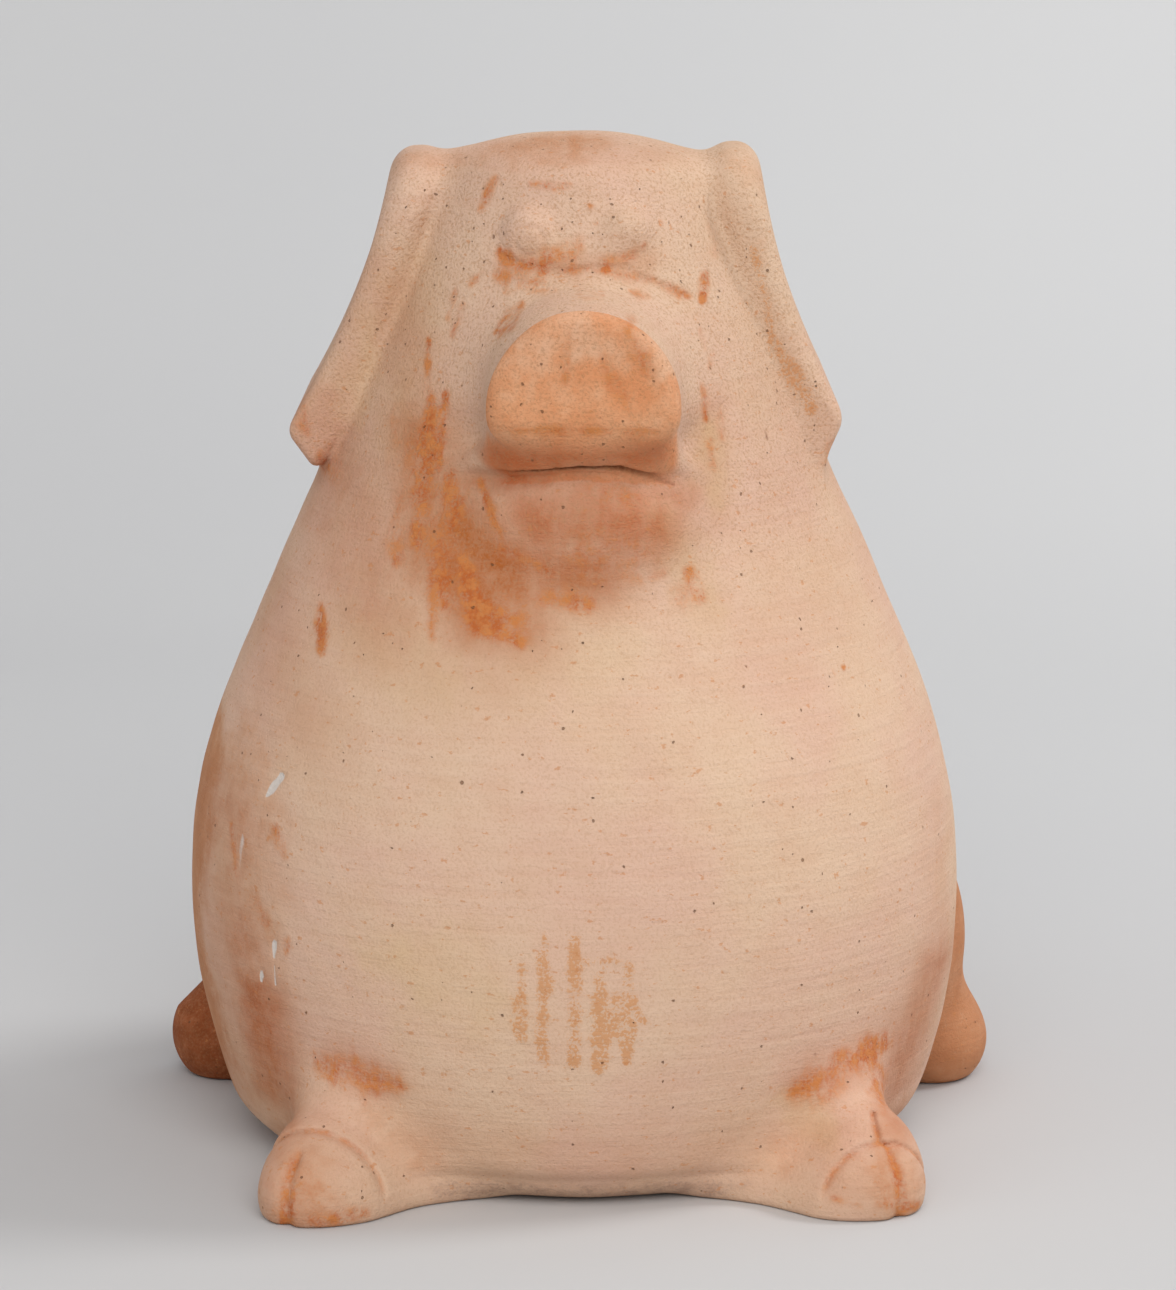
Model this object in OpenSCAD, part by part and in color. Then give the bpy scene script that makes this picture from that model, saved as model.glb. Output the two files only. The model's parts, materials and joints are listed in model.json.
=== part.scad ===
// Seated pig money bank in fired clay, with a coin slot in the nape and a rubber stopper underneath.
// Millimetres, +Z up, the pig looks along -Y, origin on the ground under the middle of the belly.
// The pig's own left is +X.

/* [Body] */
// Height from the ground to the crown of the head
height = 170; // [166:1:176]
// Largest radius of the belly
belly_r = 65.5; // [64:0.5:67]
// Height of the widest part of the belly
belly_z = 41.5; // [40:0.5:43]
// Radius of the belly's side curve
side_curve_r = 100; // [98:1:104]
// Height where the belly's curve runs out into the straight neck
neck_z = 80.5; // [79:0.5:82]
// Radius of the crown's curve
crown_curve_r = 58; // [54:1:64]
// Rounding between neck and crown
crown_round = 8; // [7:0.5:9]
// Rounding of the belly's bottom edge
foot_round = 10; // [9:0.5:11]
// Thickness of the fired clay
wall = 5.5; // [5:0.25:6]

/* [Coin slot] */
// Length of the slot across the nape
slot_length = 36; // [32:1:38]
// Height of the slot
slot_height = 5; // [4.5:0.25:6]
// Height of the slot's middle above the ground
slot_z = 119; // [112:1:122]

/* [Base and stopper] */
// Radius of the seat that the base plate is luted into
seat_r = 46; // [42:0.5:47]
// How far the base plate sits above the ground
base_recess = 3.5; // [3.5:0.25:4.5]
// Thickness of the base plate
base_thickness = 5.5; // [5:0.25:6.5]
// Diameter of the hole for the stopper
hole_d = 32; // [28:1:36]
// Radial clearance of the stopper in its hole
stopper_clearance = 0.05; // [0.02:0.01:0.09]
// Diameter of the stopper's flange
flange_d = 40; // [38:1:46]
// Thickness of the stopper's flange
flange_thickness = 2.4; // [2:0.1:2.6]

/* [Head] */
// How far the snout sits to the pig's left of the middle
snout_x = 1.1; // [0:0.1:2]
// Width of the snout's disc
snout_width = 31; // [28:0.5:33]
// How far in front of the middle the snout's disc reaches
snout_reach = 54; // [52:0.5:56]
// Height of the snout's flat lower edge
snout_z = 125.4; // [124:0.2:127]
// Height of the snout's disc from its flat edge to its round top
snout_height = 22; // [20:0.5:23]
// Height of the mouth's gap between snout and jaw
mouth_z = 119.6; // [119:0.2:120.4]
// Width of the mouth's gap
mouth_gap = 1.6; // [1:0.2:2]
// Half of the lower jaw's width
jaw_half_width = 18; // [16:0.5:20]
// Radius of an eye bump
eye_r = 4.3; // [4:0.1:5]
// Height of the eyes
eye_z = 155.3; // [153:0.1:157]

/* [Feet] */
// Height of a front trotter
toe_height = 12.6; // [11:0.2:14]
// Width of the groove between the two toes
cleft_width = 1.6; // [1:0.2:2]
// Height of a rear foot
rear_height = 17; // [15:0.5:18]

/* [Tail] */
// Radius of the tail's curl
tail_curl_r = 6; // [5:0.5:7]
// Radius of the tail's roll of clay
tail_roll_r = 2.6; // [2.2:0.1:3]
// Height of the middle of the curl
tail_z = 50; // [45:1:60]

/* [Hidden] */

washed_clay = [0.86, 0.71, 0.59];
bare_clay = [0.80, 0.47, 0.30];
black_rubber = [0.10, 0.10, 0.10];

round_fn = 96;
lump_fn = 28;
far = 100;

// The body is a surface of revolution: bottom edge, belly, straight neck, shoulder and crown.
belly_c = [belly_r - side_curve_r, belly_z];
neck_a = asin((neck_z - belly_z) / side_curve_r);
neck_n = [cos(neck_a), sin(neck_a)];
crown_c = [0, height - crown_curve_r];
shoulder_off = neck_n * (belly_c - crown_c) + side_curve_r - crown_round;
shoulder_up = sqrt(pow(crown_curve_r - crown_round, 2) - pow(shoulder_off, 2));
shoulder_c = crown_c + shoulder_off * neck_n + shoulder_up * [-neck_n.y, neck_n.x];
shoulder_a = atan2(shoulder_c.y - crown_c.y, shoulder_c.x);
foot_reach = sqrt(pow(side_curve_r - foot_round, 2) - pow(belly_z - foot_round, 2));
foot_c = [belly_c.x + foot_reach, foot_round];
foot_a = atan2(foot_round - belly_z, foot_reach);

base_top = base_recess + base_thickness;
flange_gap = 0.2;
flange_bottom = base_recess - flange_gap - flange_thickness;
plug_r = hole_d / 2 - stopper_clearance;
plug_top = base_top + 2.5;
plug_wall = 2.5;
plug_chamfer = 1;

mouth_top = mouth_z + mouth_gap / 2;
mouth_bottom = mouth_z - mouth_gap / 2;

// Each ear station: height, centre's distance from the middle, front y, back y, roll radius
EAR_STATIONS = [
    [163.4, 27.3, -5, 7, 3.5],
    [152, 30.4, -13, 14, 3.4],
    [136, 36.9, -16, 18, 3.2],
    [125, 42.2, -13, 14, 3.2],
    [121.6, 44.2, -5, 6, 3.2]
];

// Points of an arc after its first one
function arc(c, r, a0, a1, steps) =
    [for (i = [1 : steps]) let (a = a0 + (a1 - a0) * i / steps) c + r * [cos(a), sin(a)]];

// Right half of the body's section, moved inwards by inset
function section(inset) = concat(
    [[0, inset], [foot_c.x, inset]],
    arc(foot_c, foot_round - inset, -90, foot_a, 4),
    arc(belly_c, side_curve_r - inset, foot_a, neck_a, 12),
    [shoulder_c + (crown_round - inset) * neck_n],
    arc(shoulder_c, crown_round - inset, neck_a, shoulder_a, 3),
    arc(crown_c, crown_curve_r - inset, shoulder_a, 90, 4)
);

// Radius of the straight neck at a height
function neck_radius(z) = (neck_n * belly_c + side_curve_r - z * neck_n.y) / neck_n.x;

module body_solid() {
    rotate_extrude($fn = round_fn)
        polygon(section(0));
}

module wall_section() {
    difference() {
        polygon(section(0));
        polygon(section(wall));
        square([seat_r, base_top]);
    }
    // Thick ring that holds the base plate
    intersection() {
        polygon(section(0));
        translate([seat_r, 0])
            square([far, base_top]);
    }
}

module half_shell(start) {
    rotate([0, 0, start])
        rotate_extrude(angle = 180, $fn = round_fn)
            wall_section();
}

module below_ground() {
    translate([-far, -far, -far])
        cube([2 * far, 2 * far, far]);
}

module lump(p, r) {
    translate(p)
        sphere(r, $fn = lump_fn);
}

module slot_cut() {
    straight = slot_length - slot_height;
    translate([0, 0, slot_z])
        rotate([-90, 0, 0])
            linear_extrude(far) {
                square([straight, slot_height], center = true);
                for (end = [-1, 1])
                    translate([end * straight / 2, 0])
                        circle(d = slot_height, $fn = round_fn);
            }
}

module shell_front() {
    color(washed_clay)
        half_shell(180);
}

module shell_back() {
    color(bare_clay)
        difference() {
            half_shell(0);
            slot_cut();
        }
}

module base_plate() {
    color(bare_clay)
        translate([0, 0, base_recess])
            difference() {
                cylinder(h = base_thickness, r = seat_r, $fn = round_fn);
                translate([0, 0, -1])
                    cylinder(h = base_thickness + 2, d = hole_d, $fn = round_fn);
            }
}

module stopper() {
    color(black_rubber)
        translate([0, 0, flange_bottom])
            rotate_extrude($fn = round_fn)
                polygon([
                    [0, 0], [flange_d / 2 - 1, 0], [flange_d / 2, 1],
                    [flange_d / 2, flange_thickness], [plug_r, flange_thickness],
                    [plug_r, plug_top - flange_bottom - plug_chamfer],
                    [plug_r - plug_chamfer, plug_top - flange_bottom],
                    [plug_r - plug_wall, plug_top - flange_bottom],
                    [plug_r - plug_wall, flange_thickness], [0, flange_thickness]
                ]);
}

module ear_station(s) {
    lump([-s[1], s[2], s[0]], s[4]);
    lump([-s[1], s[3], s[0]], s[4]);
    lump([wall - neck_radius(s[0]), (s[2] + s[3]) / 2, s[0]], s[4]);
}

module ear_right() {
    color(washed_clay)
        difference() {
            hull()
                for (s = EAR_STATIONS)
                    ear_station(s);
            body_solid();
        }
}

module ear_left() {
    mirror([1, 0, 0])
        ear_right();
}

module eye(x) {
    reach = sqrt(pow(neck_radius(eye_z), 2) - x * x);
    color(washed_clay)
        difference() {
            translate([x, 2 - reach, eye_z])
                sphere(eye_r, $fn = 64);
            body_solid();
        }
}

module muzzle() {
    rim = 3;
    half = snout_width / 2;
    color(washed_clay)
        difference() {
            hull() {
                // The disc: two low corners and a round top
                for (side = [-1, 1])
                    lump([snout_x + side * (half - rim), rim - snout_reach, snout_z + rim], rim);
                for (a = [35 : 27.5 : 145])
                    lump([
                        snout_x + (half - rim) * cos(a), rim + 1 - snout_reach,
                        snout_z + snout_height - half + (half - rim) * sin(a)
                    ], rim);
                // The root on the face
                for (side = [-1, 1]) {
                    lump([snout_x + side * 14, -32, 124], 5);
                    lump([snout_x + side * 8, -22, 145], 4);
                }
            }
            body_solid();
            translate([-far, -far, mouth_top - far])
                cube([2 * far, 2 * far, far]);
        }
}

module lower_jaw() {
    color(washed_clay)
        difference() {
            hull() {
                for (side = [-1, 1])
                    lump([snout_x + side * (jaw_half_width - 8), -41, 112.5], 8);
                lump([snout_x, -38.5, 115], 11);
                lump([snout_x, -40, 103], 7);
            }
            body_solid();
            translate([-far, -far, mouth_bottom])
                cube([2 * far, 2 * far, far]);
        }
}

// A splayed trotter with its toe centre at a distance and bearing from the middle
module front_foot(reach, bearing) {
    toe_r = toe_height / 2;
    color(washed_clay)
        rotate([0, 0, bearing])
            difference() {
                hull() {
                    for (side = [-1, 1])
                        lump([reach, side * 4.5, toe_r], toe_r);
                    lump([reach - 13, 0, toe_r + 3.5], toe_r + 1.5);
                    for (side = [-1, 1])
                        lump([52, side * 12, 6], 6);
                }
                body_solid();
                below_ground();
                translate([reach + toe_r - 3, -cleft_width / 2, -1])
                    cube([far, cleft_width, far]);
            }
}

// A rear foot whose haunch rises to the given height beside the belly
module rear_foot(side, haunch_z) {
    foot_r = rear_height / 2;
    color(bare_clay)
        difference() {
            hull() {
                lump([side * 64, 29, foot_r - 1], foot_r);
                lump([side * 54, 43, foot_r - 1], foot_r);
                lump([side * 61, 24, haunch_z - 6], 6);
                lump([side * 53, 38, haunch_z - 4], 6);
            }
            body_solid();
            below_ground();
        }
}

module tail() {
    color(bare_clay)
        difference() {
            translate([0, belly_r + 0.5, tail_z])
                rotate([90, 0, 0])
                    rotate_extrude(angle = 300, $fn = 64)
                        translate([tail_curl_r, 0])
                            circle(tail_roll_r, $fn = 32);
            body_solid();
        }
}

shell_front();
shell_back();
base_plate();
ear_left();
ear_right();
eye(8.6);  // eye_left
eye(-7.8);  // eye_right
muzzle();
lower_jaw();
front_foot(72.5, -47.5);  // front_foot_left
front_foot(71.5, -127.5);  // front_foot_right
rear_foot(1, 38);  // rear_foot_left
rear_foot(-1, 24);  // rear_foot_right
tail();
stopper();
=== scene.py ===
"""Seated terracotta pig bank. The shape code works in millimetres in the frame's own axes:
the pig looks along -Y, +X is the pig's own left, and the ground is z = 0."""

import json
import math

import bpy
import numpy as np
import openvdb
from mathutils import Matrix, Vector


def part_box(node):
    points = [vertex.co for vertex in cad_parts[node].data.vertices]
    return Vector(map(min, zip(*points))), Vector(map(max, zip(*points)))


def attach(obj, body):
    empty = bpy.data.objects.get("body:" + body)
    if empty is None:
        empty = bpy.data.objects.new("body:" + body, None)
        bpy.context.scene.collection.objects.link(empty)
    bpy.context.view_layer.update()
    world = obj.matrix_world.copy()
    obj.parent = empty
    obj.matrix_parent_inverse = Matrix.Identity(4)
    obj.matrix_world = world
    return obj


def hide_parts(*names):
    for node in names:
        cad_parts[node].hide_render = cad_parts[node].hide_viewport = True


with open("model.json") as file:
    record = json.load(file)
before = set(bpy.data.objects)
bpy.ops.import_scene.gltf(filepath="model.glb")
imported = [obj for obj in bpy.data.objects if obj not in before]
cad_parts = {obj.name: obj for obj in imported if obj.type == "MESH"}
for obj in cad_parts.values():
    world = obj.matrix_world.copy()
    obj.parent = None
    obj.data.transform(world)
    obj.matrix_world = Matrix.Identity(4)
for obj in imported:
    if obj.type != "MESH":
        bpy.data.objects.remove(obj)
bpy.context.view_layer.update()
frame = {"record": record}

MM = 0.001
FINE = 0.8
COARSE = 1.5


def box_mm(node):
    low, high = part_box(node)
    return np.array(low) / MM, np.array(high) / MM


# ---------------------------------------------------------------- body section
_, SHELL_HIGH = box_mm("shell_front")
HEIGHT = SHELL_HIGH[2]
BELLY_R = SHELL_HIGH[0]
BELLY_Z = 41.5      # height of the widest part
SIDE_R = 100.0      # belly's side curve
NECK_Z = 80.5       # where the side curve runs out into the straight neck
CROWN_R = 58.0
SHOULDER_R = 8.0    # rounding between neck and crown
FOOT_R = 13.0       # rounding of the bottom edge, softer than the CAD's
WALL = 5.5

BELLY_C = np.array([BELLY_R - SIDE_R, BELLY_Z])
NECK_A = math.asin((NECK_Z - BELLY_Z) / SIDE_R)
NECK_N = np.array([math.cos(NECK_A), math.sin(NECK_A)])
NECK_D = NECK_N @ BELLY_C + SIDE_R
CROWN_C = np.array([0.0, HEIGHT - CROWN_R])
_across = NECK_D - SHOULDER_R - NECK_N @ CROWN_C
_along = math.sqrt((CROWN_R - SHOULDER_R) ** 2 - _across ** 2)
SHOULDER_C = CROWN_C + _across * NECK_N + _along * np.array([-NECK_N[1], NECK_N[0]])
SHOULDER_A = math.atan2(SHOULDER_C[1] - CROWN_C[1], SHOULDER_C[0])
_reach = math.sqrt((SIDE_R - FOOT_R) ** 2 - (BELLY_Z - FOOT_R) ** 2)
FOOT_C = np.array([BELLY_C[0] + _reach, FOOT_R])
FOOT_A = math.atan2(FOOT_R - BELLY_Z, _reach)


def neck_radius(z):
    return (NECK_D - z * NECK_N[1]) / NECK_N[0]


# ---------------------------------------------------------------- distance functions
def blend_min(a, b, k):
    """Union with a fillet of about k."""
    h = np.maximum(k - np.abs(a - b), 0.0) / k
    return np.minimum(a, b) - h * h * k * 0.25


def blend_max(a, b, k):
    return -blend_min(-a, -b, k)


def length(*parts):
    return np.sqrt(sum(p * p for p in parts))


def ball(p, centre, radius):
    return length(p[:, 0] - centre[0], p[:, 1] - centre[1], p[:, 2] - centre[2]) - radius


def round_cone(p, a, b, ra, rb):
    """A rod with round ends whose radius runs from ra to rb."""
    a, b = np.array(a, np.float32), np.array(b, np.float32)
    ab = b - a
    t = np.clip(((p - a) @ ab) / (ab @ ab), 0.0, 1.0)
    q = p - a - t[:, None] * ab
    return length(q[:, 0], q[:, 1], q[:, 2]) - (ra + (rb - ra) * t)


def rolled(p, stations):
    """A roll of clay through stations of (x, y, z, radius)."""
    return np.minimum.reduce([
        round_cone(p, a[:3], b[:3], a[3], b[3]) for a, b in zip(stations, stations[1:])
    ])


def ellipsoid(p, centre, radii, turn=0.0, tip=0.0):
    """An ellipsoid turned about Z by turn degrees, after being tipped about X by tip degrees."""
    q = p - np.array(centre, np.float32)
    c, s = math.cos(math.radians(turn)), math.sin(math.radians(turn))
    x, y = c * q[:, 0] + s * q[:, 1], c * q[:, 1] - s * q[:, 0]
    c, s = math.cos(math.radians(tip)), math.sin(math.radians(tip))
    y, z = c * y + s * q[:, 2], c * q[:, 2] - s * y
    k0 = length(x / radii[0], y / radii[1], z / radii[2])
    k1 = length(x / radii[0] ** 2, y / radii[1] ** 2, z / radii[2] ** 2)
    return k0 * (k0 - 1.0) / np.maximum(k1, 1e-6)


def smooth(x, low, high):
    t = np.clip((x - low) / (high - low), 0.0, 1.0)
    return t * t * (3.0 - 2.0 * t)


FAR = 50.0


def local(p, low, high, shape, outside=FAR):
    """shape(p) inside a box and a constant outside it, so that a small feature costs little."""
    inside = np.all((p > np.array(low, np.float32)) & (p < np.array(high, np.float32)), axis=1)
    d = np.full(len(p), outside, np.float32)
    if inside.any():
        d[inside] = shape(p[inside])
    return d


def revolved(p):
    """Distance to the plain body of revolution: bottom edge, belly, neck, shoulder and crown."""
    r, z = length(p[:, 0], p[:, 1]), p[:, 2]
    bx, bz = r - BELLY_C[0], z - BELLY_C[1]
    sx, sz = r - SHOULDER_C[0], z - SHOULDER_C[1]
    past_belly = bz * NECK_N[0] - bx * NECK_N[1] > 0.0
    past_neck = sz * NECK_N[0] - sx * NECK_N[1] > 0.0
    under = np.where(r < FOOT_C[0], -z, length(r - FOOT_C[0], z - FOOT_C[1]) - FOOT_R)
    side = np.where(np.arctan2(bz, bx) < FOOT_A, under, length(bx, bz) - SIDE_R)
    neck = r * NECK_N[0] + z * NECK_N[1] - NECK_D
    crown = length(r, z - CROWN_C[1]) - CROWN_R
    top = np.where(np.arctan2(sz, sx) < SHOULDER_A, length(sx, sz) - SHOULDER_R, crown)
    return np.where(past_belly, np.where(past_neck, top, neck), side)


def hand_wobble(p):
    """The slow unevenness that hands leave in clay."""
    x, y, z = p[:, 0], p[:, 1], p[:, 2]
    w = np.sin(0.083 * x + 0.6) * np.sin(0.071 * z + 1.1) * np.cos(0.064 * y + 0.3)
    w += 0.5 * np.sin(0.19 * x - 0.11 * z + 2.0) * np.cos(0.17 * y + 0.07 * z)
    return w + 0.25 * np.sin(0.43 * x + 0.31 * z) * np.sin(0.39 * y - 0.27 * z + 0.9)


# ---------------------------------------------------------------- ears
EAR_FRONT_Y, EAR_BACK_Y = -13.4, 15.0
EAR_TOP = {"ear_left": 167.6, "ear_right": 166.9}
# Lower corner of the flap's outer face and the way its slanted foot faces, as X outwards and Z
EAR_FOOT = {
    "ear_left": ((44.8, 124.0), (0.915, -0.408)),
    "ear_right": ((48.0, 121.6), (0.81, -0.587)),
}
EAR_HALF = 3.9      # half the flap's thickness
# Middle of the flap's thickness from the head's middle: at EAR_START_Z, and its first and second
# growth over EAR_DROP downwards
EAR_START_Z = 166.0
EAR_RUN = {"ear_left": (26.9, 5.4, 10.2), "ear_right": (26.6, 7.0, 10.8)}
EAR_DROP = 46.0


def ear(p, name):
    side = 1.0 if name == "ear_left" else -1.0
    start, slope, bend = EAR_RUN[name]
    s = (EAR_START_Z - p[:, 2]) / EAR_DROP
    middle = start + slope * s + bend * s * s
    lean = (slope + 2.0 * bend * s) / EAR_DROP
    across = (side * p[:, 0] - middle) / np.sqrt(1.0 + lean * lean)
    y, z = p[:, 1], p[:, 2]
    outline = blend_max(EAR_FRONT_Y - y, blend_max(y - EAR_BACK_Y, z - EAR_TOP[name], 8.0), 12.0)
    roll = 1.8 + 1.8 * smooth(z, 122.0, 136.0)
    thick = np.abs(across) - EAR_HALF + roll
    edge = outline + roll
    flap = length(np.maximum(thick, 0), np.maximum(edge, 0)) + np.minimum(np.maximum(thick, edge), 0) - roll
    # The foot of the flap is cut off on a slant, lowest where it meets the neck
    (foot_x, foot_z), (face_x, face_z) = EAR_FOOT[name]
    foot = (side * p[:, 0] - foot_x) * face_x + (z - foot_z) * face_z + (y + 9.0) * 0.15
    return blend_max(flap, foot, 2.0)


# ---------------------------------------------------------------- head
MUZZLE_LOW, MUZZLE_HIGH = box_mm("muzzle")
SNOUT_X = (MUZZLE_LOW[0] + MUZZLE_HIGH[0]) / 2
SNOUT_Y = MUZZLE_LOW[1]
DISC_R = 14.9
DISC_Z = 130.7
DISC_EDGE_Z = 125.6     # the disc's flat lower edge
UPPER_LIP = [
    (-20.2, -33.6, 118.6, 1.0), (-9.0, -43.4, 122.4, 3.0), (1.0, -46.4, 124.0, 3.2),
    (11.0, -43.0, 122.2, 3.2), (19.8, -35.0, 117.2, 1.6)
]
MOUTH_LINE = [
    (-17.0, -39.6, 118.0, 0.1), (-9.0, -45.2, 120.1, 0.3), (0.8, -48.0, 121.3, 0.5),
    (7.0, -47.2, 120.8, 0.5), (12.6, -44.2, 118.8, 0.3), (16.6, -41.0, 116.4, 0.1)
]
MOUTH_BOX = ((-26, -54, 110), (27, -28, 128))


def muzzle(p):
    """A short tube that ends in a pressed-on disc with a flat lower edge, over a wide upper lip."""
    x, y, z = p[:, 0] - SNOUT_X, p[:, 1], p[:, 2]
    back = np.clip((y - SNOUT_Y) / 25.0, 0.0, 1.3)
    slab = 0.9 * smooth(y - SNOUT_Y, 5.6, 3.6)
    tube = length(x, z - DISC_Z) - (DISC_R - 0.5 + 3.0 * back + slab)
    face = (SNOUT_Y + (z - 126.0) * 0.09) - y
    underside = -((y - SNOUT_Y) * 0.414 + (z - DISC_EDGE_Z) * 0.91)
    snout = blend_max(blend_max(tube, face, 2.6 + 3.0 * smooth(-x, 3.0, 13.0)), underside, 5.0)
    snout = blend_min(snout, rolled(p, UPPER_LIP), 5.0)
    # Two faint nostril dents with a ridge between them
    snout = blend_max(snout, -ellipsoid(p, (-1.0, SNOUT_Y - 0.1, 138.0), (1.6, 1.0, 6.0)), 1.6)
    return blend_max(snout, -ellipsoid(p, (8.4, SNOUT_Y + 0.1, 138.6), (3.0, 1.0, 6.0)), 2.0)


def lower_jaw(p):
    return ellipsoid(p, (2.2, -36.8, 110.8), (17.0, 13.0, 12.0))


def mouth_groove(p):
    return rolled(p, MOUTH_LINE)


def eye_place(node):
    low, high = box_mm(node)
    return (low[0] + high[0]) / 2, (low[2] + high[2]) / 2


EYE_R = 4.9
EYE_SUNK = 3.0      # how far the middle of an eye's ball lies inside the head
# Each eye's X and Z from the middle of its CAD piece
EYE_SHIFT = {"eye_left": (-1.2, -0.4), "eye_right": (0.9, -0.8)}
EYES = {}
for _node in ("eye_left", "eye_right"):
    _x, _z = np.add(eye_place(_node), EYE_SHIFT[_node])
    EYES[_node] = (_x, EYE_SUNK - math.sqrt(neck_radius(_z) ** 2 - _x * _x), _z)


# ---------------------------------------------------------------- feet
# Toe: its centre, the way it points in degrees and its radii. Ankle and web towards the middle: two
# ends and two radii. Crease round the hoof: centre and radius. Cleft: a point and direction in X and
# Y, and how far along it starts
FRONT_FEET = {
    "front_foot_right": dict(
        toe=(-41.8, -57.4, 3.4), point=245.0, radii=(9.3, 11.2, 9.0),
        ankle=((-40.4, -52.0, 8.6), (-35.0, -41.0, 13.5), 6.8, 8.5),
        web=((-35.5, -57.5, 1.6), (-19.0, -46.5, 1.0), 4.8, 4.0),
        crease=((-43.6, -63.0, 1.5), 13.0), cleft=((-44.4, -62.0), (-0.42, -0.91), -0.6),
    ),
    "front_foot_left": dict(
        toe=(47.9, -53.8, 3.4), point=293.0, radii=(9.0, 10.4, 8.8),
        ankle=((47.6, -48.5, 8.2), (40.5, -39.0, 13.5), 6.6, 8.5),
        web=((41.5, -56.8, 1.4), (25.0, -46.5, 1.0), 5.0, 4.0),
        crease=((50.4, -61.0, 1.0), 10.8), cleft=((50.4, -57.6), (0.40, -0.92), -1.0),
    ),
}
# A short nick pressed in above the hoof of the left foot, as a line in X and Z
NICK = [(48.5, 14.4), (49.2, 11.8)]


def front_foot(p, name):
    f = FRONT_FEET[name]
    toe = ellipsoid(p, f["toe"], f["radii"], f["point"] - 90.0)
    d = blend_min(toe, round_cone(p, *f["ankle"]), 7.0)
    return blend_min(d, round_cone(p, *f["web"]), 9.0)


def pressed(distance, width, depth):
    """How far a pressed line lowers the clay at a distance from its middle."""
    return depth * np.exp(-(distance / width) ** 2)


def line_distance(a, b, points):
    """Distance in a plane from (a, b) to a broken line."""
    best = np.full(len(a), FAR, np.float32)
    for (a0, b0), (a1, b1) in zip(points, points[1:]):
        da, db = a1 - a0, b1 - b0
        t = np.clip(((a - a0) * da + (b - b0) * db) / (da * da + db * db), 0.0, 1.0)
        best = np.minimum(best, length(a - a0 - t * da, b - b0 - t * db))
    return best


def hoof_marks(p, name):
    """Depth of the crease round the hoof and of the cleft between its two toes."""
    f = FRONT_FEET[name]
    x, y, z = p[:, 0], p[:, 1], p[:, 2]
    centre, radius = f["crease"]
    rim = ball(p, centre, radius)
    marks = pressed(rim, 0.55, 0.6) * smooth(z, 2.5, 6.0) * smooth(y, -44.0, -50.0)
    (cx, cy), (dx, dy), start = f["cleft"]
    off = np.abs((x - cx) * dy - (y - cy) * dx)
    along = (x - cx) * dx + (y - cy) * dy - start
    wide = 0.6 + 0.12 * np.clip(along, 0.0, 8.0)
    marks += pressed(off, wide, 1.0) * smooth(along, -0.5, 2.0) * (rim < 0.0)
    if name == "front_foot_left":
        marks += pressed(line_distance(x, z, NICK), 0.5, 0.7)
    return marks


def rear_foot_right(p):
    return round_cone(p, (-61.4, 26.5, 7.4), (-55.5, 26.0, 20.0), 10.2, 5.5)


def rear_foot_left(p):
    foot = ellipsoid(p, (62.2, 27.5, 6.6), (10.8, 14.0, 10.0), 12)
    haunch = ellipsoid(p, (57.0, 24.0, 26.0), (11.6, 16.0, 20.0), 10)
    return blend_min(foot, haunch, 8.0)


# ---------------------------------------------------------------- pressed lines on the face
# The fold where the muzzle meets the face, under the eyes, as a line in X and Z
FOLD = [
    (-12.2, 151.6), (-8.4, 150.6), (-2.4, 149.9), (0.8, 150.2), (5.2, 150.4), (8.6, 149.9),
    (10.6, 148.6), (18.3, 145.3)
]
PUPIL_R = 2.3
FACE_BOX = ((-18, -45, 138), (24, -15, 160))


def face_marks(p):
    """Depth of the fold and of the ring pressed into the right eye."""
    x, z = p[:, 0], p[:, 2]
    marks = pressed(line_distance(x, z, FOLD), 0.7, 0.4)
    ex, _, ez = EYES["eye_right"]
    ring = np.abs(length(x - ex, z - ez + 0.6) - PUPIL_R)
    return marks + pressed(ring, 0.5, 0.22)


# ---------------------------------------------------------------- tail
TAIL_LOW, TAIL_HIGH = box_mm("tail")
TAIL_C = ((TAIL_LOW[0] + TAIL_HIGH[0]) / 2, (TAIL_LOW[2] + TAIL_HIGH[2]) / 2)


TAIL_STEPS = 26


def tail_stations():
    """A curl that starts low on the back, winds in and ends in its middle."""
    points = []
    for i in range(TAIL_STEPS + 1):
        t = i / TAIL_STEPS
        turn = math.radians(-110.0 + 500.0 * t)
        reach = 8.6 - 6.0 * t
        x, z = TAIL_C[0] + reach * math.cos(turn), TAIL_C[1] + reach * math.sin(turn)
        points.append((x, math.sqrt(BELLY_R ** 2 - x * x) - 0.6 + 1.2 * t, z, 2.5 - 0.5 * t))
    return points


def tail(p):
    return rolled(p, tail_stations())


# ---------------------------------------------------------------- the whole skin
SLOT = frame["record"]["physics"]["openings"][0]["box_m"]
SLOT_Z = (SLOT[0][2] + SLOT[1][2]) / 2 / MM
SLOT_HALF = 18.0
SLOT_R = 2.5

WOBBLE = 0.22
WAIST_Z, WAIST_WIDE, WAIST_DEEP = 112.0, 9.0, 0.45
GROOVE_Z = 4.8      # a pressed groove between the front feet

# Fillet where each lump is smoothed into the body; the ears' and the muzzle's vary with height
FILLET = {
    "eye_left": 1.5, "eye_right": 1.5, "lower_jaw": 6.5, "front_foot_left": 8.0,
    "front_foot_right": 8.0, "rear_foot_left": 5.0, "rear_foot_right": 3.0, "tail": 1.6
}

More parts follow.
